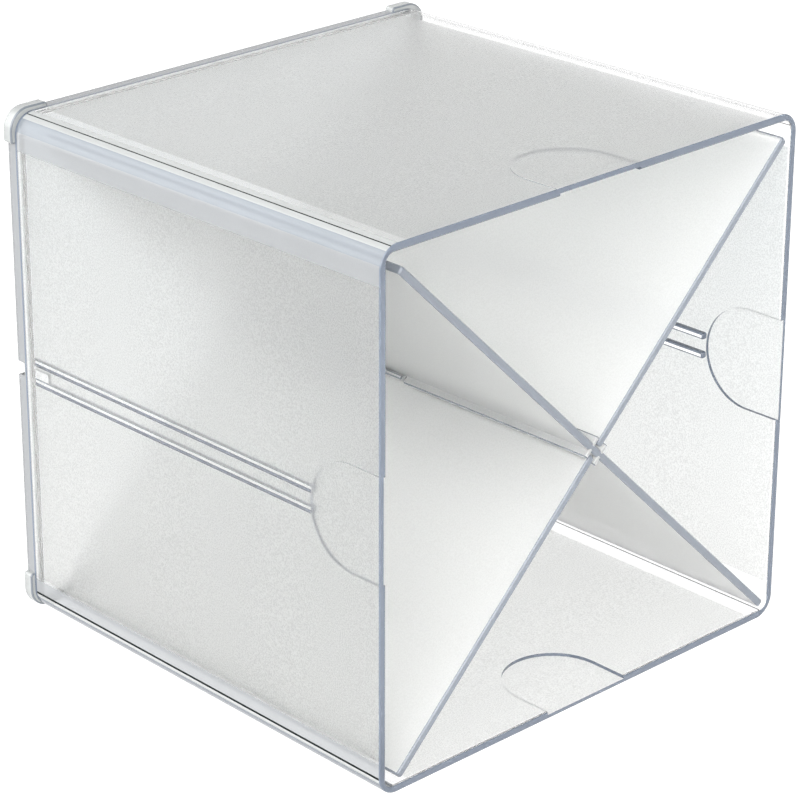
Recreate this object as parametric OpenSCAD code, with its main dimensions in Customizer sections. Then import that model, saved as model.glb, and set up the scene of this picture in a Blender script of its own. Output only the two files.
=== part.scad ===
// Stackable clear plastic desk cube, open at the front, with two loose divider panels that
// halve into each other as an X and make four three-sided compartments.
// Millimetres, +Z up, open front facing -Y, origin at the bottom centre of the whole cube.

/* [Shell] */
// Outside width across the open front
body_w = 152.4; // [130:0.1:190]
// Outside height across the open front
body_h = 148.8; // [130:0.1:190]
// Outside depth from the open front to the back rim
body_d = 145.4; // [120:0.1:190]
// Thickness of the moulded walls and of the back
wall = 2.2; // [2:0.1:3]
// How far each wall leans inward between the front and the back rim
draft = 1.3; // [0.8:0.1:1.8]
// Radius of the four long outside corners
corner_r = 6; // [4:0.5:9]
// Radius of the four long inside corners
inner_r = 2.5; // [1.5:0.5:3.5]

/* [Back and stacking lips] */
// Depth of the rim that stands behind the back wall
rim_depth = 3.8; // [3:0.1:6]
// How far the upper lips reach in from the sides, and how high the lower lips reach up
lip_leg = 12.5; // [10:0.5:20]
// How far the upper lips reach down
lip_drop = 9.4; // [8:0.1:20]
// Depth of the lips, from the back rim towards the front
lip_depth = 3.4; // [2:0.1:3.6]

/* [Thumb recesses] */
// Half width of the recess in the middle of each front edge
recess_r = 14.8; // [10:0.1:18]
// How far each recess reaches back from the front edge
recess_reach = 26; // [22:0.5:34]
// How deep each recess is cut into the inside of its wall
recess_depth = 0.95; // [0.4:0.05:1.2]

/* [Shelf channels] */
// Clear height between the two ribs of a channel
channel_gap = 3.8; // [3:0.1:6]
// Thickness of each channel rib
rib_t = 1.9; // [1:0.1:3]
// How far the channel ribs stand out from the wall
rib_h = 1.5; // [0.8:0.1:3]
// Length of the stop block at the back end of a channel
stop_len = 6.4; // [3:0.1:12]
// Height of the stop block
stop_h = 2.8; // [1:0.1:3]

/* [Divider panels] */
// Thickness of a divider panel
panel_t = 2.2; // [1.6:0.1:2.6]
// Distance from the front edge of the shell back to the panels
panel_inset = 1; // [0.5:0.1:4]
// Running clearance around the panels inside the shell
panel_play = 0.3; // [0.2:0.05:1]
// How far the loose X has slid along its own diagonal, down into the lower right corner
x_drop = 3.2; // [0.5:0.1:4]
// Clearance between a panel and each side of the slot that it sits in
slot_play = 0.5; // [0.3:0.05:1]
// How far the guide ribs stand out from a panel
guide_h = 2.1; // [1:0.1:3]
// Thickness of a guide rib
guide_t = 1.2; // [0.8:0.1:2]

/* [Hidden] */
$fn = 48;

lean = draft / body_d;                         // inward lean of a wall for each mm of depth
mid_z = body_h / 2;                            // height of the middle of the cube
back_y = body_d - rim_depth - wall;            // front face of the back wall
cut = 1;                                       // how far a small cutting shape runs past a face
long_cut = body_d / 2;                         // how far the hollow's cutting shape runs past the front
sink = 0.6;                                    // how far an added shape is rooted in its wall

recess_cy = recess_reach - recess_r;           // centre of the round end of a thumb recess
notch_r = 0.8;                                 // rounding at the mouth of a rim notch
lip_t = draft + sink;                          // thickness of the lips, with their root
lip_end_r = 0.9;                               // rounding at the free end of a lip
lip_base = draft + 0.1;                        // underside of the lower lips, just inside the wall
lip_gap = body_h - lip_leg - lip_drop;         // upright distance between an upper and a lower lip

half_gap = channel_gap / 2;                    // from mid height to the near face of a channel rib
rib_front = recess_reach + 0.3;                // the channel ribs start just behind the recess
stop_out = 0.8 * rib_h;                        // the stop block stands out a little less than the ribs

room_w = body_w - 2 * wall;                    // inside width at the open front
room_h = body_h - 2 * wall;                    // inside height at the open front
diagonal = norm([room_w, room_h]) / 2;         // from the middle to a sharp inside corner
tilt = atan2(room_h, room_w);                  // slope of the diagonals
corner_loss = inner_r * (sqrt(2) - 1);         // what the rounded corner takes off a diagonal
panel_len = 2 * (diagonal - corner_loss - panel_play - x_drop);
panel_end_r = 0.49 * panel_t;                  // side edges of a panel, close to a full half round
back_gap = 1;                                  // the panels stop this far short of the back wall
panel_depth = back_y - panel_inset - back_gap;
panel_mid = panel_depth / 2;                   // depth at which the two slots meet
slot_w = panel_t + 2 * slot_play;
end_taper = lean * panel_depth * sqrt(2);      // what a leaning corner takes off one panel end

// Draws a flat outline (x across, y up) and pushes it back along +Y, starting at y0
module along_y(y0, depth, taper = 1)
    translate([0, y0, 0])
        rotate([90, 0, 0]) mirror([0, 0, 1])
            linear_extrude(height = depth, scale = taper, slices = 1) children();

// Rectangle with rounded corners, centred on the origin
module round_rect(w, h, r)
    union() {
        square([w - 2 * r, h], center = true);
        square([w, h - 2 * r], center = true);
        for (sx = [-1, 1], sz = [-1, 1])
            translate([sx * (w / 2 - r), sz * (h / 2 - r)]) circle(r);
    }

// Box that narrows with the walls: w by h is its size level with the open front
module leaning_box(w, h, r, y0, y1) {
    front = 2 * lean * y0;
    back = 2 * lean * y1;
    translate([0, 0, mid_z])
        along_y(y0, y1 - y0, [(w - back) / (w - front), (h - back) / (h - front)])
            round_rect(w - front, h - front, r);
}

// U shape that opens onto the front edge, drawn flat with its length along +y
module thumb_outline() {
    translate([-recess_r, -cut]) square([2 * recess_r, recess_cy + cut]);
    translate([0, recess_cy]) circle(recess_r);
}

// The four U shapes, each standing right through its own wall
module thumb_prisms() {
    for (side = [-1, 1])
        translate([0, 0, mid_z + side * body_h / 2])
            translate([0, 0, -body_h / 4]) linear_extrude(body_h / 2) thumb_outline();
    for (side = [-1, 1])
        translate([side * body_w / 2, 0, mid_z])
            rotate([0, 90, 0]) translate([0, 0, -body_w / 4])
                linear_extrude(body_w / 2) thumb_outline();
}

module thumb_recesses()
    intersection() {
        leaning_box(room_w + 2 * recess_depth, room_h + 2 * recess_depth, inner_r, -long_cut, body_d / 2);
        thumb_prisms();
    }

// Bar along the inside of a side wall, from y0 to y1 and from z0 to z1, standing out by h
module wall_bar(side, y0, y1, z0, z1, h) {
    face0 = room_w / 2 - lean * y0;
    face1 = room_w / 2 - lean * y1;
    translate([0, 0, z0])
        linear_extrude(z1 - z0)
            polygon([
                [side * (face0 + sink), y0],
                [side * (face0 - h), y0],
                [side * (face1 - h), y1],
                [side * (face1 + sink), y1]
            ]);
}

// Two ribs that guide a flat shelf, with a stop block between them at the back
module shelf_channel(side) {
    for (up = [-1, 1]) {
        near = mid_z + up * half_gap;
        far = mid_z + up * (half_gap + rib_t);
        wall_bar(side, rib_front, back_y + sink, min(near, far), max(near, far), rib_h);
    }
    wall_bar(side, back_y - stop_len, back_y + sink,
        mid_z - half_gap - sink, mid_z - half_gap + stop_h, stop_out);
}

// Slot cut down from the line y = 0, with the two corners of its mouth rounded over
module rounded_mouth(w, depth, r) {
    translate([-w / 2, -depth]) square([w, depth + cut]);
    difference() {
        translate([-w / 2 - r, -r]) square([w + 2 * r, r + cut]);
        for (side = [-1, 1])
            translate([side * (w / 2 + r), -r]) circle(r);
    }
}

// Notch in the back rim, level with the channel, through both side walls
module rim_notches()
    translate([-body_w, 0, mid_z])
        rotate([0, 90, 0]) linear_extrude(2 * body_w)
            translate([0, body_d]) rounded_mouth(channel_gap, rim_depth - sink, notch_r);

// The four lips seen along the depth: the lower two run out into the underside of the shell
module lip_outline()
    difference() {
        translate([0, lip_base / 2]) round_rect(body_w, body_h - lip_base, corner_r);
        round_rect(body_w - 2 * lip_t, body_h - 2 * lip_t, corner_r);
        translate([0, body_h / 2]) rounded_mouth(body_w - 2 * lip_leg, 2 * lip_t, lip_end_r);
        for (side = [-1, 1])
            translate([side * body_w / 2, (lip_leg - lip_drop) / 2])
                rotate(-90 * side) rounded_mouth(lip_gap, 2 * lip_t, lip_end_r);
    }

// The lips bring the back out to the full width and the full top height of the front
module stacking_lips()
    translate([0, 0, mid_z])
        along_y(body_d - lip_depth, lip_depth) lip_outline();

module shell()
    color([0.86, 0.87, 0.89, 0.6])
        translate([0, -body_d / 2, 0]) {
            difference() {
                union() {
                    leaning_box(body_w, body_h, corner_r, 0, body_d);
                    stacking_lips();
                }
                leaning_box(room_w, room_h, inner_r, -long_cut, back_y);
                leaning_box(room_w, room_h, inner_r, body_d - rim_depth, body_d + cut);
                thumb_recesses();
                rim_notches();
            }
            for (side = [-1, 1]) shelf_channel(side);
        }

// Plain panel lying along x, with rounded side edges that close in with the walls
module panel_blank()
    along_y(0, panel_depth, [1 - 2 * end_taper / panel_len, 1])
        round_rect(panel_len, panel_t, panel_end_r);

// Four guide ribs, two on each face, that the other panel sits between
module guide_ribs(y0, y1)
    for (side = [-1, 1], face = [-1, 1])
        translate([side * (slot_w + guide_t) / 2, (y0 + y1) / 2, face * (panel_t + guide_h - sink) / 2])
            cube([guide_t, y1 - y0, guide_h + sink], center = true);

// Panel with a slot that is open at its back or front end, and guide ribs along its solid half
module slotted_panel(slot_y, rib_y) {
    difference() {
        panel_blank();
        translate([0, slot_y + panel_mid / 2, 0])
            cube([slot_w, panel_mid + 2 * cut, panel_t + 2 * cut], center = true);
    }
    guide_ribs(rib_y, rib_y + panel_mid - slot_play);
}

// Puts a panel on a diagonal of the cube: lean_dir 1 rises to the right, -1 falls to the right
module on_diagonal(lean_dir)
    translate([x_drop * cos(tilt), panel_inset - body_d / 2, mid_z - x_drop * sin(tilt)])
        rotate([0, -lean_dir * tilt, 0]) children();

// Falls to the right: solid in front, slot open at the back
module back_slotted_divider()
    color([0.80, 0.82, 0.86, 0.8])
        on_diagonal(-1) slotted_panel(panel_mid + cut - slot_play, 0);

// Rises to the right: slot open at the front, solid at the back
module front_slotted_divider()
    color([0.84, 0.85, 0.88, 0.8])
        on_diagonal(1) slotted_panel(-cut + slot_play, panel_mid + slot_play);

shell();
back_slotted_divider();
front_slotted_divider();
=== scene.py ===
"""Stackable clear plastic desk cube with two halving divider panels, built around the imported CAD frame.

Metres, +Z up, open front facing -Y. Every piece is modelled in the shell's own frame, with its origin
in the middle of the open front and y running back into the cube, and is then moved into place.
"""

import math
from functools import partial
from itertools import accumulate

import bmesh
import bpy
from mathutils import Matrix, Vector


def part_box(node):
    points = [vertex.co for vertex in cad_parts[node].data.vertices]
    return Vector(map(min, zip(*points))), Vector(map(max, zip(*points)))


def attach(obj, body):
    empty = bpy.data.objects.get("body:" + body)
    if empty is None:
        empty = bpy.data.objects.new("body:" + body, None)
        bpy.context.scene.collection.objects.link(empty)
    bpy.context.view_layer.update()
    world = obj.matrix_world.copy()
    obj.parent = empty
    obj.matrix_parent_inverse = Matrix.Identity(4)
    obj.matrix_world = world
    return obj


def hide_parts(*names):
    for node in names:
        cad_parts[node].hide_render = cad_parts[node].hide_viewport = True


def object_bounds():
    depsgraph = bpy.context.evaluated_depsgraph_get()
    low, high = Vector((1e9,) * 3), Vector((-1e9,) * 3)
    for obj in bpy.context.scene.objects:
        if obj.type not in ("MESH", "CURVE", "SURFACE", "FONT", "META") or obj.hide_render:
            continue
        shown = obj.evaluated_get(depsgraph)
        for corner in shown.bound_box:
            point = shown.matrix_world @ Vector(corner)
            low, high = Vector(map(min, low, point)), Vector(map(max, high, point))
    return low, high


MM = 0.001

# Shell: every wall leans inward by DRAFT between the open front and the back rim
WALL = 2.2 * MM
DRAFT = 1.3 * MM
CORNER_R = 6 * MM
INNER_R = 2.5 * MM
RIM_DEPTH = 3.8 * MM
RIM_OUTER_ROUND = 0.4 * MM
RIM_INNER_ROUND = 0.7 * MM
BACK_FILLET = 0.6 * MM

# Clear strip on each side of a long corner, then the rings round the outside, from the back forward
CLEAR_STRIP = 10 * MM
# The rear strip carries painted grey shade and the rear line a painted dark line
REAR_STRIP = 3.4 * MM
REAR_LINE = 0.7 * MM
REAR_COLLAR = 2.1 * MM

# Stacking lips: LIP_DROP is the upright leg of the upper two. LIP_BASE and LIP_FLOOR keep the level leg
# of the lower two inside the lower wall, so that they run out into the underside
LIP_LEG = 12.5 * MM
LIP_DROP = 9.4 * MM
LIP_BASE = DRAFT + 0.1 * MM
LIP_FLOOR = 1.2 * MM
LIP_DEPTH = 3.4 * MM
LIP_ROUND = 0.9 * MM
LIP_EDGE = 0.45 * MM

# Thumb recesses
RECESS_R = 14.8 * MM
RECESS_REACH = 26 * MM
RECESS_DEPTH = 0.95 * MM

# Shelf channels and rim notches
CHANNEL_GAP = 3.8 * MM
RIB_T = 1.9 * MM
RIB_H = 1.5 * MM
RIB_ROUND = 0.55 * MM
STOP_LEN = 6.4 * MM
STOP_H = 2.8 * MM
STOP_OUT = RIB_H * 0.8
STOP_ROUND = RIB_ROUND / 2
NOTCH_MOUTH = 0.8 * MM
NOTCH_CORNER = 0.4 * MM

# Dividers
PANEL_T = 2.2 * MM
PANEL_INSET = 1 * MM
PANEL_PLAY = 0.3 * MM
PANEL_EDGE = 0.6 * MM
PANEL_CORNER = 0.9 * MM
BACK_GAP = 1 * MM
X_DROP = 3.2 * MM
SLOT_PLAY = 0.5 * MM
SLOT_MOUTH = 0.8 * MM
SLOT_CORNER = 0.4 * MM
GUIDE_H = 2.1 * MM
GUIDE_T = 1.2 * MM
GUIDE_ROUND = 0.3 * MM

# How deep an added shape is rooted in its wall, and how far a cutter runs past a face
ROOT = 0.8 * MM
OVERSHOOT = 3 * MM

# Facets of a long corner, of a recess end, of a rounded rim and of a small corner
CORNER_STEPS = 28
RECESS_STEPS = 4 * CORNER_STEPS
EDGE_STEPS = 4
END_STEPS = 6

# Edges sharper than this stay sharp, and the full weight lets the broad faces set the shading
SHARP_ANGLE = math.radians(32)
BROAD_FACE_WEIGHT = 100

# Skins of the shell and of a divider, by slot number
# EDGE, STRIP, BAND, SHADE_LINE and PANEL_RIM are painted shade and GLINT is a painted highlight; the rest
# is the plastic's own look
CLEAR, FROSTED, EDGE, STRIP, BAND, SHADE_LINE, GLINT = range(7)
PANEL_FACE, PANEL_RIM = range(2)

# Skins of the faces of one long corner: (skin, first face, face after the last). Face 0 is the flat
# strip before the arc, the arc follows, and the flat strip after it comes last. The corners come in
# the order top right, top left, bottom left, bottom right.
# The top left and bottom left corners carry painted highlight and painted shade, and every corner a thin
# near-black painted line
ARC_END = CORNER_STEPS + 1
PLAIN_CORNER = ((SHADE_LINE, 7, 8),)
TOP_LEFT_CORNER = ((GLINT, 1, 13), (SHADE_LINE, 7, 8), (BAND, 13, 25), (STRIP, 25, ARC_END + 1))
BOTTOM_LEFT_CORNER = ((STRIP, 0, 1), (SHADE_LINE, 1, 3), (GLINT, 3, 6), (BAND, 6, ARC_END))
CORNERS = (PLAIN_CORNER, TOP_LEFT_CORNER, BOTTOM_LEFT_CORNER, PLAIN_CORNER)


# ---------------------------------------------------------------- outlines

def arc(centre, radius, start, stop, steps):
    """Points of a circular arc, both ends included; angles in degrees."""
    angles = [math.radians(start + (stop - start) * i / steps) for i in range(steps + 1)]
    return [(centre[0] + radius * math.cos(a), centre[1] + radius * math.sin(a)) for a in angles]


def quarter(start, stop, straight_first):
    """Quarter ellipse from start to stop, leaving start along the first axis or along the second."""
    points = []
    for step in range(EDGE_STEPS + 1):
        angle = math.pi / 2 * step / EDGE_STEPS
        slow, fast = 1 - math.cos(angle), math.sin(angle)
        first, second = (fast, slow) if straight_first else (slow, fast)
        across = start[0] + (stop[0] - start[0]) * first
        up = start[1] + (stop[1] - start[1]) * second
        points.append((across, up))
    return points


def inset_loop(loop, amount):
    """The anticlockwise closed outline moved inward by amount along its mitred corners."""
    moved = []
    for before, here, after in zip(loop[-1:] + loop[:-1], loop, loop[1:] + loop[:1]):
        a = (Vector(here) - Vector(before)).normalized()
        b = (Vector(after) - Vector(here)).normalized()
        inward_a, inward_b = Vector((-a.y, a.x)), Vector((-b.y, b.x))
        mitre = (inward_a + inward_b) / (1 + inward_a.dot(inward_b))
        moved.append(tuple(Vector(here) + mitre * amount))
    return moved


# ---------------------------------------------------------------- mesh building

def loft(bm, loops):
    """Closed skin through loops of the same length, with a flat cap on the first and the last."""
    rows = [[bm.verts.new(point) for point in loop] for loop in loops]
    bands = []
    for near, far in zip(rows, rows[1:]):
        followers = list(range(1, len(near))) + [0]
        corners = [(near[i], near[j], far[j], far[i]) for i, j in enumerate(followers)]
        bands.append([bm.faces.new(points) for points in corners])
    caps = [bm.faces.new(rows[0]), bm.faces.new(rows[-1])]
    return bands, caps


def slab(bm, loop, low, high, low_round, high_round, place):
    """Outline raised from low to high with rounded rims; place turns (u, v, height) into a point."""
    rings = []
    if low_round > 0:
        rings += quarter((low, low_round), (low + low_round, 0), False)
    else:
        rings.append((low, 0))
    if high_round > 0:
        rings += quarter((high - high_round, 0), (high, high_round), True)
    else:
        rings.append((high, 0))
    loops = []
    for height, inset in rings:
        loops.append([place(u, v, height) for u, v in inset_loop(loop, inset)])
    return loft(bm, loops)


def mesh_object(name, bm, materials=()):
    """Turns the bmesh into an object in the scene, with its faces turned outward."""
    bmesh.ops.recalc_face_normals(bm, faces=bm.faces)
    mesh = bpy.data.meshes.new(name)
    bm.to_mesh(mesh)
    bm.free()
    for material in materials:
        mesh.materials.append(material)
    made = bpy.data.objects.new(name, mesh)
    bpy.context.scene.collection.objects.link(made)
    return made


def paint(faces, skin):
    """Gives the faces one of the piece's skins, by its slot number."""
    for face in faces:
        face.material_index = skin


def apply_modifiers(piece):
    """Makes the result of the piece's modifiers its own mesh."""
    depsgraph = bpy.context.evaluated_depsgraph_get()
    result = bpy.data.meshes.new_from_object(piece.evaluated_get(depsgraph))
    piece.modifiers.clear()
    piece.data = result


def combine(base, tool, operation):
    """Adds the tool's solids to base (UNION) or cuts them from it (DIFFERENCE)."""
    modifier = base.modifiers.new("combine", "BOOLEAN")
    modifier.solver = "MANIFOLD"
    modifier.operation = operation
    modifier.object = tool
    apply_modifiers(base)
    bpy.data.objects.remove(tool)


def smooth(piece):
    """Smooth shading on the rounded edges, with the broad faces kept flat."""
    for polygon in piece.data.polygons:
        polygon.use_smooth = True
    piece.data.set_sharp_from_angle(angle=SHARP_ANGLE)
    weighted = piece.modifiers.new("weighted", "WEIGHTED_NORMAL")
    weighted.keep_sharp = True
    weighted.weight = BROAD_FACE_WEIGHT
    apply_modifiers(piece)


# ---------------------------------------------------------------- shell

class Cube:
    """The sizes of the shell, read from the CAD frame."""

    def __init__(self):
        low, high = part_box("shell")
        self.width = high.x - low.x
        self.depth = high.y - low.y
        self.height = high.z - low.z
        self.origin = Vector((0, low.y, (low.z + high.z) / 2))
        self.lean = DRAFT / self.depth
        self.back_out = self.depth - RIM_DEPTH
        self.back_in = self.back_out - WALL
        self.room_w = self.width - 2 * WALL
        self.room_h = self.height - 2 * WALL


def wall_loop(cube, y, inset):
    """Rounded rectangle level with depth y, with a point at each end of the four frosted faces."""
    shrink = 2 * (cube.lean * y + inset)
    width, height = cube.width - shrink, cube.height - shrink
    radius = CORNER_R - inset if inset < WALL / 2 else INNER_R + WALL - inset
    strip = CLEAR_STRIP - inset
    points = []
    for turn in range(4):
        out, along = (width / 2, height / 2) if turn % 2 == 0 else (height / 2, width / 2)
        side = [(out, strip - along), (out, along - strip)]
        side += arc((out - radius, along - radius), radius, 0, 90, CORNER_STEPS)
        # Drawn on the right, then brought to its own side in quarter turns
        for a, b in side:
            for _ in range(turn):
                a, b = -b, a
            points.append(Vector((a, y, b)))
    return points


def shell_walls(cube, materials):
    """Walls, rims and set-in back as one skin that runs from the back's outer face to its inner face."""
    front, back = RIM_OUTER_ROUND, cube.depth - RIM_OUTER_ROUND
    profile = quarter((cube.back_out, WALL + BACK_FILLET), (cube.back_out + BACK_FILLET, WALL), False)
    inner_rim = len(profile) - 1
    profile += quarter((back, WALL), (cube.depth, WALL - RIM_OUTER_ROUND), True)
    profile += quarter((cube.depth, RIM_OUTER_ROUND), (back, 0), False)
    rear = len(profile) - 1
    profile += [(cube.depth - y, 0) for y in accumulate((REAR_STRIP, REAR_LINE, REAR_COLLAR))]
    outside = len(profile) - 1
    profile += quarter((front, 0), (0, RIM_OUTER_ROUND), True)
    front_rim_end = len(profile) + EDGE_STEPS // 2
    profile += quarter((0, WALL - RIM_INNER_ROUND), (RIM_INNER_ROUND, WALL), False)
    inside = len(profile) - 1
    profile += quarter((cube.back_in - BACK_FILLET, WALL), (cube.back_in, WALL + BACK_FILLET), True)

    bm = bmesh.new()
    bands, caps = loft(bm, [wall_loop(cube, y, inset) for y, inset in profile])
    # Painted grey shade on the back rim and the rear strip, a painted dark line just forward of it, and
    # painted blue-grey shade on the front rim
    for band in bands[inner_rim:rear + 1]:
        paint(band, STRIP)
    paint(bands[rear + 1], EDGE)
    for band in bands[outside + 1:front_rim_end]:
        paint(band, EDGE)
    # Each side has its broad face, a flat strip, the facets of the corner and another flat strip
    per_side = CORNER_STEPS + 3
    for side in range(4):
        first = side * per_side
        bands[inside][first].material_index = FROSTED
        bands[rear + 2][first].material_index = FROSTED
        # Painted highlight, painted shade and a painted dark line on the corner facets, by each corner's
        # table
        for band in bands[rear + 2:outside + 1]:
            corner = band[first + 1:first + per_side]
            for skin, start, stop in CORNERS[side]:
                paint(corner[start:stop], skin)
    caps[1].material_index = FROSTED
    return mesh_object("cube_shell", bm, materials)


def lip_outline(cube, base, depth, drop, end_round):
    """Lip round the upper right corner, seen along y; base sets its level leg in from the full height."""
    right, full = cube.width / 2, cube.height / 2
    top, root = full - base, cube.width / 2 - DRAFT - ROOT
    loop = [(right - LIP_LEG, top - depth)]
    loop += arc((root - CORNER_R, top - depth - CORNER_R), CORNER_R, 90, 0, CORNER_STEPS)
    loop.append((root, full - drop))
    loop += arc((right - LIP_ROUND, full - drop + LIP_ROUND), LIP_ROUND, -90, 0, END_STEPS)
    loop += arc((right - CORNER_R, top - CORNER_R), CORNER_R, 0, 90, CORNER_STEPS)
    if end_round > 0:
        loop += arc((right - LIP_LEG + end_round, top - end_round), end_round, 90, 180, END_STEPS)
    else:
        loop.append((right - LIP_LEG, top))
    return loop


def lips(cube, materials):
    """Lips that bring the back out to full size; the lower two run out into the underside."""
    upper = lip_outline(cube, 0, DRAFT + ROOT, LIP_DROP, LIP_ROUND)
    lower = lip_outline(cube, LIP_BASE, LIP_FLOOR, LIP_LEG, 0)
    bm = bmesh.new()
    for side in (-1, 1):
        for up, loop in ((1, upper), (-1, lower)):
            bands, caps = slab(bm, loop, cube.depth - LIP_DEPTH, cube.depth, LIP_EDGE, LIP_EDGE,
                               lambda u, v, height: Vector((side * u, height, up * v)))
            # Painted highlight on the flat faces of each lip, and a painted dark outline on its rounded
            # edges
            paint(caps + bands[EDGE_STEPS], GLINT)
            for band in bands[:EDGE_STEPS] + bands[-EDGE_STEPS:]:
                paint(band, BAND)
    return mesh_object("lips", bm, materials)


def rectangle(left, right, bottom, top, radius):
    """Anticlockwise rectangle with rounded corners."""
    loop = arc((right - radius, top - radius), radius, 0, 90, END_STEPS)
    loop += arc((left + radius, top - radius), radius, 90, 180, END_STEPS)
    loop += arc((left + radius, bottom + radius), radius, 180, 270, END_STEPS)
    loop += arc((right - radius, bottom + radius), radius, 270, 360, END_STEPS)
    return loop


def on_side_wall(cube, side, y, z, out):
    """Point at depth y and height z, standing out from the inner face of a side wall."""
    return Vector((side * (cube.room_w / 2 - cube.lean * y - out), y, z))


def on_level_wall(cube, side, y, x, out):
    """Point at depth y and width x, standing out from the inner face of the upper or lower wall."""
    return Vector((x, y, side * (cube.room_h / 2 - cube.lean * y - out)))


def shelf_channels(cube, materials):
    """Two rounded ribs on each side wall, with a stop block between them at the back."""
    bm = bmesh.new()
    half_gap = CHANNEL_GAP / 2
    back = cube.back_in + ROOT
    for side in (-1, 1):
        for low in (-half_gap - RIB_T, half_gap):
            rib = rectangle(RECESS_REACH, back, low, low + RIB_T, RIB_ROUND)
            bands, _ = slab(bm, rib, -ROOT, RIB_H, 0, RIB_ROUND, partial(on_side_wall, cube, side))
            # Painted blue-grey shade on the sides and rounded edge of each rib
            for band in bands:
                paint(band, EDGE)
    ribs = mesh_object("ribs", bm, materials)
    bm = bmesh.new()
    stop = rectangle(cube.back_in - STOP_LEN, back + ROOT,
                     -half_gap - ROOT, STOP_H - half_gap, RIB_ROUND)
    for side in (-1, 1):
        slab(bm, stop, -ROOT - STOP_ROUND, STOP_OUT, 0, STOP_ROUND, partial(on_side_wall, cube, side))
    combine(ribs, mesh_object("stops", bm), "UNION")
    return ribs


def thumb_cutters(cube, materials):
    """U-shaped cutters that sink a recess into the inside of each wall, open at the front edge."""
    centre = RECESS_REACH - RECESS_R
    loop = [(RECESS_R, -OVERSHOOT)]
    loop += arc((0, centre), RECESS_R, 0, 180, RECESS_STEPS)
    loop.append((-RECESS_R, -OVERSHOOT))
    bm = bmesh.new()
    for side in (-1, 1):
        for wall in (on_side_wall, on_level_wall):
            bands, caps = slab(bm, loop, -RECESS_DEPTH, OVERSHOOT, 0, 0,
                               lambda u, y, out: wall(cube, side, y, u, out))
            caps[0].material_index = FROSTED
            # Painted blue-grey shade on the step wall round each recess
            paint(bands[0], EDGE)
    return mesh_object("thumbs", bm, materials)


def notch_cutter(cube):
    """One long bar that cuts the notch in the back rim through both side walls."""
    half = CHANNEL_GAP / 2
    bottom = cube.back_out + ROOT
    mouth = cube.depth - NOTCH_MOUTH
    side = arc((half - NOTCH_CORNER, bottom + NOTCH_CORNER), NOTCH_CORNER, -90, 0, END_STEPS)
    side += arc((half + NOTCH_MOUTH, mouth), NOTCH_MOUTH, 180, 90, END_STEPS)
    side.append((half + NOTCH_MOUTH, cube.depth + OVERSHOOT))
    loop = side + [(-z, y) for z, y in reversed(side)]
    bm = bmesh.new()
    slab(bm, loop, -cube.width, cube.width, 0, 0, lambda z, y, x: Vector((x, y, z)))
    return mesh_object("notches", bm)


def build_shell(cube, materials):
    """The whole shell as one skin: walls with lips and channels added, recesses and notches cut."""
    shell = shell_walls(cube, materials)
    combine(shell, lips(cube, materials), "UNION")
    combine(shell, shelf_channels(cube, materials), "UNION")
    combine(shell, thumb_cutters(cube, materials), "DIFFERENCE")
    combine(shell, notch_cutter(cube), "DIFFERENCE")
    finish_piece(shell, cube)
    return shell


# ---------------------------------------------------------------- dividers

def divider(name, cube, lean_dir, slot_at_back, materials):
    """Panel with half a slot in the middle, and guide ribs along its solid half.

    lean_dir is 1 for the diagonal that rises to the right and -1 for the one that falls.
    """
    tilt = math.atan2(cube.room_h, cube.room_w)
    diagonal = math.hypot(cube.room_w, cube.room_h) / 2
    half_len = diagonal - INNER_R * (math.sqrt(2) - 1) - PANEL_PLAY - X_DROP
    depth = cube.back_in - PANEL_INSET - BACK_GAP
    taper = cube.lean * math.sqrt(2)
    half_slot = PANEL_T / 2 + SLOT_PLAY
    middle = depth / 2
    slot_end = middle + SLOT_PLAY

    # Right half of the outline, from the slot's closed end round its mouth to the far corner
    mouth_end, far_end = half_len, half_len - taper * depth
    if slot_at_back:
        mouth_end, far_end = far_end, mouth_end
    right = arc((half_slot - SLOT_CORNER, slot_end - SLOT_CORNER), SLOT_CORNER, 90, 0, END_STEPS)
    right += arc((half_slot + SLOT_MOUTH, SLOT_MOUTH), SLOT_MOUTH, 180, 270, END_STEPS)
    right += arc((mouth_end - PANEL_CORNER, PANEL_CORNER), PANEL_CORNER, 270, 360, END_STEPS)
    right += arc((far_end - PANEL_CORNER, depth - PANEL_CORNER), PANEL_CORNER, 0, 90, END_STEPS)
    loop = right + [(-u, y) for u, y in reversed(right)]
    if slot_at_back:
        loop = [(u, depth - y) for u, y in reversed(loop)]

    along = Vector((math.cos(tilt), 0, lean_dir * math.sin(tilt)))
    out = Vector((-lean_dir * math.sin(tilt), 0, math.cos(tilt)))
    centre = Vector((X_DROP * math.cos(tilt), PANEL_INSET, -X_DROP * math.sin(tilt)))

    def place(u, y, height):
        return centre + along * u + out * height + Vector((0, y, 0))

    bm = bmesh.new()
    bands, _ = slab(bm, loop, -PANEL_T / 2, PANEL_T / 2, PANEL_EDGE, PANEL_EDGE, place)
    # Painted blue-grey shade on the rounded edges all round the panel
    for band in bands:
        paint(band, PANEL_RIM)
    panel = mesh_object(name, bm, materials)

    bm = bmesh.new()
    start = 0 if slot_at_back else slot_end
    reach = PANEL_T / 2 + GUIDE_H
    for side in (-1, 1):
        near, far = sorted((side * half_slot, side * (half_slot + GUIDE_T)))
        guide = rectangle(near, far, start, start + middle - SLOT_PLAY, GUIDE_ROUND)
        bands, _ = slab(bm, guide, -reach, reach, GUIDE_ROUND, GUIDE_ROUND, place)
        # Painted blue-grey shade on the rounded edges of the guides
        for band in bands[:EDGE_STEPS] + bands[-EDGE_STEPS:]:
            paint(band, PANEL_RIM)
    combine(panel, mesh_object("guides", bm, materials), "UNION")
    finish_piece(panel, cube)
    return panel


def finish_piece(piece, cube):
    """Moves the piece into the shared frame and smooths it."""
    piece.data.transform(Matrix.Translation(cube.origin))
    smooth(piece)


# ---------------------------------------------------------------- materials

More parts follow.
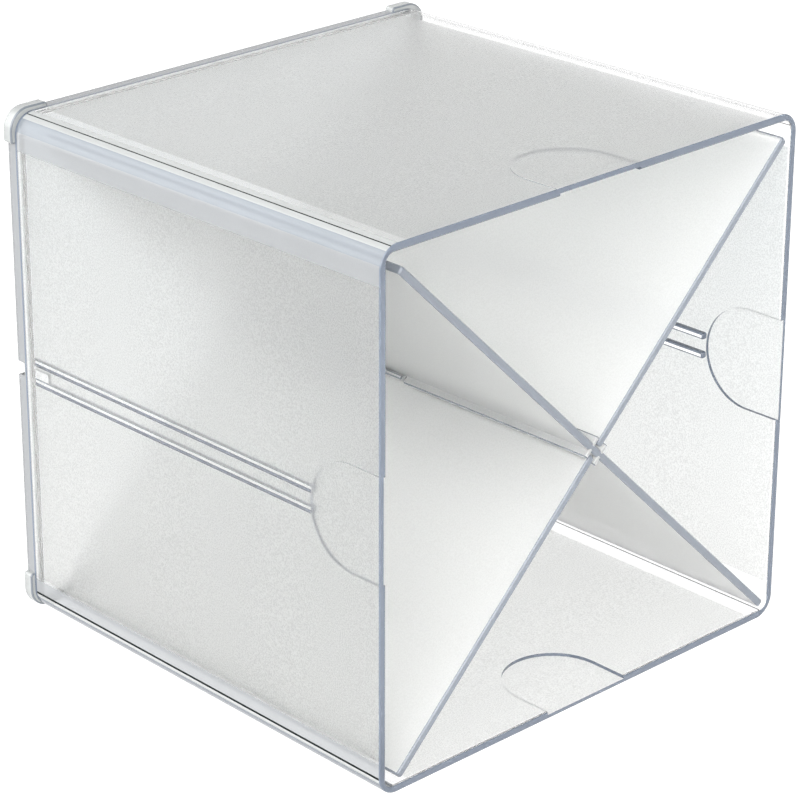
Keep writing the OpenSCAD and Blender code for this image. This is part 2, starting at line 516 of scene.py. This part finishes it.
# Noise of the grain and of the broad patches, and the span of the grain that turns light to dark
NOISE_DETAIL = 2.0
GRAIN_SCALE = 2600
GRAIN_SPAN = (0.38, 0.62)
PATCH_SCALE = 40

# Depth of the grain on a moulded and on a blasted face, and how far the patches vary the roughness
MOULDED_GRAIN = 0.01 * MM
BLASTED_GRAIN = 0.02 * MM
PATCH_WANDER = 0.02

# Light bends in the plastic and is slowly taken up by it
PLASTIC_IOR = 1.59
BODY_COLOUR = (0.80, 0.84, 0.86, 1)
BODY_DENSITY = 2

FLOOR_DARK = (0.05, 0.05, 0.05, 1)
FLOOR_LIGHT = (0.06, 0.06, 0.06, 1)
FLOOR_MOTTLE_SCALE = 3.0
FLOOR_ROUGHNESS = 0.6
FLOOR_GLOW = 1.12
WHITE = (1, 1, 1, 1)

# Places of the two colours and of the result among the sockets of a mix node
MIX_FIRST, MIX_SECOND, MIX_RESULT = 6, 7, 2


class Nodes:
    """Shorthand for building a node tree."""

    def __init__(self, owner):
        owner.use_nodes = True
        self.tree = owner.node_tree
        self.tree.nodes.clear()

    def add(self, kind, inputs=None, **settings):
        """New node, with its settings made first and then its inputs filled or linked."""
        node = self.tree.nodes.new(kind)
        for key, value in settings.items():
            setattr(node, key, value)
        for key, value in (inputs or {}).items():
            self.put(node.inputs[key], value)
        return node

    def put(self, socket, value):
        if isinstance(value, bpy.types.NodeSocket):
            self.tree.links.new(value, socket)
        else:
            socket.default_value = value

    def math(self, operation, first, second=0.0):
        node = self.add("ShaderNodeMath", operation=operation)
        self.put(node.inputs[0], first)
        self.put(node.inputs[1], second)
        return node.outputs[0]

    def noise(self, scale):
        place = self.add("ShaderNodeTexCoord").outputs["Object"]
        inputs = {"Vector": place, "Scale": scale, "Detail": NOISE_DETAIL}
        return self.add("ShaderNodeTexNoise", inputs).outputs["Fac"]

    def blend(self, factor, first, second):
        """Colour that goes from the first to the second as the factor goes from 0 to 1."""
        inputs = {"Factor": factor, MIX_FIRST: first, MIX_SECOND: second}
        return self.add("ShaderNodeMix", inputs, data_type="RGBA").outputs[MIX_RESULT]


def plastic(name, tint, roughness, haze, speckle, grain_depth=MOULDED_GRAIN, gloss=0.5):
    """Clear plastic; haze is its milky share, and speckle is how far the grain darkens its tint."""
    material = bpy.data.materials.new(name)
    nodes = Nodes(material)
    grain = nodes.noise(GRAIN_SCALE)
    patches = nodes.noise(PATCH_SCALE)
    dots = nodes.add("ShaderNodeMapRange", {
        "Value": grain,
        "From Min": GRAIN_SPAN[0],
        "From Max": GRAIN_SPAN[1],
    })
    dark = [c * (1 - speckle) for c in tint]
    wander = nodes.math("MULTIPLY", patches, PATCH_WANDER)
    bump = nodes.add("ShaderNodeBump", {"Height": grain, "Strength": 1.0, "Distance": grain_depth})
    skin = nodes.add("ShaderNodeBsdfPrincipled", {
        "Base Color": nodes.blend(dots.outputs[0], (*tint, 1), (*dark, 1)),
        "Roughness": nodes.math("ADD", wander, roughness - PATCH_WANDER / 2),
        "IOR": PLASTIC_IOR,
        "Specular IOR Level": gloss,
        "Transmission Weight": 1 - haze,
        "Normal": bump.outputs[0],
    })
    body = nodes.add("ShaderNodeVolumeAbsorption", {"Color": BODY_COLOUR, "Density": BODY_DENSITY})
    nodes.add("ShaderNodeOutputMaterial", {"Surface": skin.outputs[0], "Volume": body.outputs[0]})
    return material


def shell_skins():
    """Skins of the shell, in the order of their slot numbers."""
    polished = partial(plastic, roughness=0.15, speckle=0.03)
    return (
        plastic("clear_plastic", (1.0, 1.0, 1.0), roughness=0.03, haze=0.0, speckle=0.01),
        plastic("frosted_plastic", (0.98, 0.99, 0.97), roughness=0.31, haze=0.10, speckle=0.32,
                grain_depth=BLASTED_GRAIN),
        # Painted light on the clear plastic: blue-grey shade, grey shade, darker corner shade, a
        # near-black shade line and a pale highlight
        polished("rim_painted_shade", (0.145, 0.175, 0.23), haze=0.55),
        polished("strip_painted_shade", (0.29, 0.30, 0.31), haze=0.50),
        polished("corner_painted_shade", (0.17, 0.19, 0.215), haze=0.60),
        plastic("painted_shade_line", (0.01, 0.012, 0.012), roughness=0.90, haze=1.0, speckle=0.02,
                gloss=0.0),
        polished("glint_plastic", (0.44, 0.455, 0.45), haze=0.50),
    )


def divider_skins():
    """Skins of a divider, in the order of their slot numbers."""
    return (
        plastic("divider_plastic", (0.955, 0.96, 0.95), roughness=0.28, haze=0.24, speckle=0.10),
        # Painted blue-grey shade for the divider's edges
        plastic("divider_rim_plastic", (0.26, 0.29, 0.34), roughness=0.15, haze=0.50, speckle=0.03),
    )


def pale_floor():
    """Dark, half matt and faintly mottled, with a glow that brings it out white."""
    material = bpy.data.materials.new("pale_floor")
    nodes = Nodes(material)
    skin = nodes.add("ShaderNodeBsdfPrincipled", {
        "Base Color": nodes.blend(nodes.noise(FLOOR_MOTTLE_SCALE), FLOOR_DARK, FLOOR_LIGHT),
        "Roughness": FLOOR_ROUGHNESS,
        "Emission Color": WHITE,
        "Emission Strength": FLOOR_GLOW,
    })
    nodes.add("ShaderNodeOutputMaterial", {"Surface": skin.outputs[0]})
    return material


# ---------------------------------------------------------------- studio

FLOOR_RADIUS = 5
FLOOR_SEGMENTS = 96

# Strength of the even light, and the soft boxes: direction, inner and outer half angle, strength
AMBIENT = 0.86
SOFT_BOXES = (
    ((-1, 0, 0), 70, 90, 2.8),
    ((-0.35, -0.9, 0.35), 18, 34, 1.8),
    ((-0.9, -0.1, 0.45), 20, 36, 1.4),
)

CAMERA_LENS = 146.4
CAMERA_SENSOR = 36
CAMERA_PLACE = (-0.5696, -0.5923, 0.4177)
CAMERA_AZIMUTH = math.radians(-43.9)
CAMERA_ELEVATION = math.radians(23.23)
CAMERA_ROLL = math.radians(0.2)

LIGHT_BOUNCES = 64


def studio_floor(low):
    """Round floor at the height of the lowest point of the object."""
    bm = bmesh.new()
    bmesh.ops.create_circle(bm, cap_ends=True, segments=FLOOR_SEGMENTS, radius=FLOOR_RADIUS)
    floor = mesh_object("floor", bm)
    floor.location.z = low.z
    floor.data.materials.append(pale_floor())


def studio_world():
    """Even light from all round, with soft boxes at the left and in front."""
    world = bpy.data.worlds.new("studio")
    bpy.context.scene.world = world
    nodes = Nodes(world)
    view = nodes.add("ShaderNodeTexCoord").outputs["Generated"]

    def patch(direction, inner, outer, strength):
        """Soft round patch of light around a direction; its half angles are in degrees."""
        axis = Vector(direction).normalized()
        facing = nodes.add("ShaderNodeVectorMath", {0: view, 1: axis}, operation="DOT_PRODUCT")
        fade = nodes.add("ShaderNodeMapRange", {
            "Value": facing.outputs["Value"],
            "From Min": math.cos(math.radians(outer)),
            "From Max": math.cos(math.radians(inner)),
            "To Max": strength,
        }, interpolation_type="SMOOTHSTEP")
        return fade.outputs["Result"]

    total = AMBIENT
    for direction, inner, outer, strength in SOFT_BOXES:
        total = nodes.math("ADD", patch(direction, inner, outer, strength), total)
    background = nodes.add("ShaderNodeBackground", {"Color": WHITE, "Strength": total})
    nodes.add("ShaderNodeOutputWorld", {"Surface": background.outputs[0]})


def studio_camera():
    """Long lens that looks down on the open front and the left side."""
    data = bpy.data.cameras.new("camera")
    data.lens = CAMERA_LENS
    data.sensor_width = CAMERA_SENSOR
    camera = bpy.data.objects.new("camera", data)
    bpy.context.scene.collection.objects.link(camera)
    back = Vector((math.sin(CAMERA_AZIMUTH) * math.cos(CAMERA_ELEVATION),
                   -math.cos(CAMERA_AZIMUTH) * math.cos(CAMERA_ELEVATION),
                   math.sin(CAMERA_ELEVATION)))
    level = Vector((math.cos(CAMERA_AZIMUTH), math.sin(CAMERA_AZIMUTH), 0))
    rise = back.cross(level)
    right = level * math.cos(CAMERA_ROLL) + rise * math.sin(CAMERA_ROLL)
    up = rise * math.cos(CAMERA_ROLL) - level * math.sin(CAMERA_ROLL)
    turn = Matrix((right, up, back)).transposed().to_4x4()
    camera.matrix_world = Matrix.Translation(CAMERA_PLACE) @ turn
    bpy.context.scene.camera = camera


def render_settings():
    """Enough bounces for light to cross many clear walls, and colours shown as they are."""
    scene = bpy.context.scene
    scene.view_settings.view_transform = "Standard"
    scene.cycles.max_bounces = LIGHT_BOUNCES
    scene.cycles.transmission_bounces = LIGHT_BOUNCES
    scene.cycles.glossy_bounces = LIGHT_BOUNCES
    scene.cycles.denoising_prefilter = "NONE"


# ---------------------------------------------------------------- assembly

def assign(piece, body, node):
    """Puts the piece on its body, in the place of its CAD node, and hides that node."""
    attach(piece, body)
    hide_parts(node)


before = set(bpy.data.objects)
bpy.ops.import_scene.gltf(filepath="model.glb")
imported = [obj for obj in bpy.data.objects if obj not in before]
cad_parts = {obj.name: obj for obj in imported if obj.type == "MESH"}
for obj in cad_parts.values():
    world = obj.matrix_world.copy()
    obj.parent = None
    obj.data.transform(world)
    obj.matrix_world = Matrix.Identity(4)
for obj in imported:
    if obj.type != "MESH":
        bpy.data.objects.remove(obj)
cad_low, cad_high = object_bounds()

cube = Cube()
shell = build_shell(cube, shell_skins())
assign(shell, "cube", "shell")

panel_skins = divider_skins()
rider = divider("rider_divider", cube, -1, True, panel_skins)
assign(rider, "rider_panel", "back_slotted_divider")
carrier = divider("carrier_divider", cube, 1, False, panel_skins)
assign(carrier, "carrier_panel", "front_slotted_divider")

studio_floor(cad_low)
studio_world()
studio_camera()
render_settings()
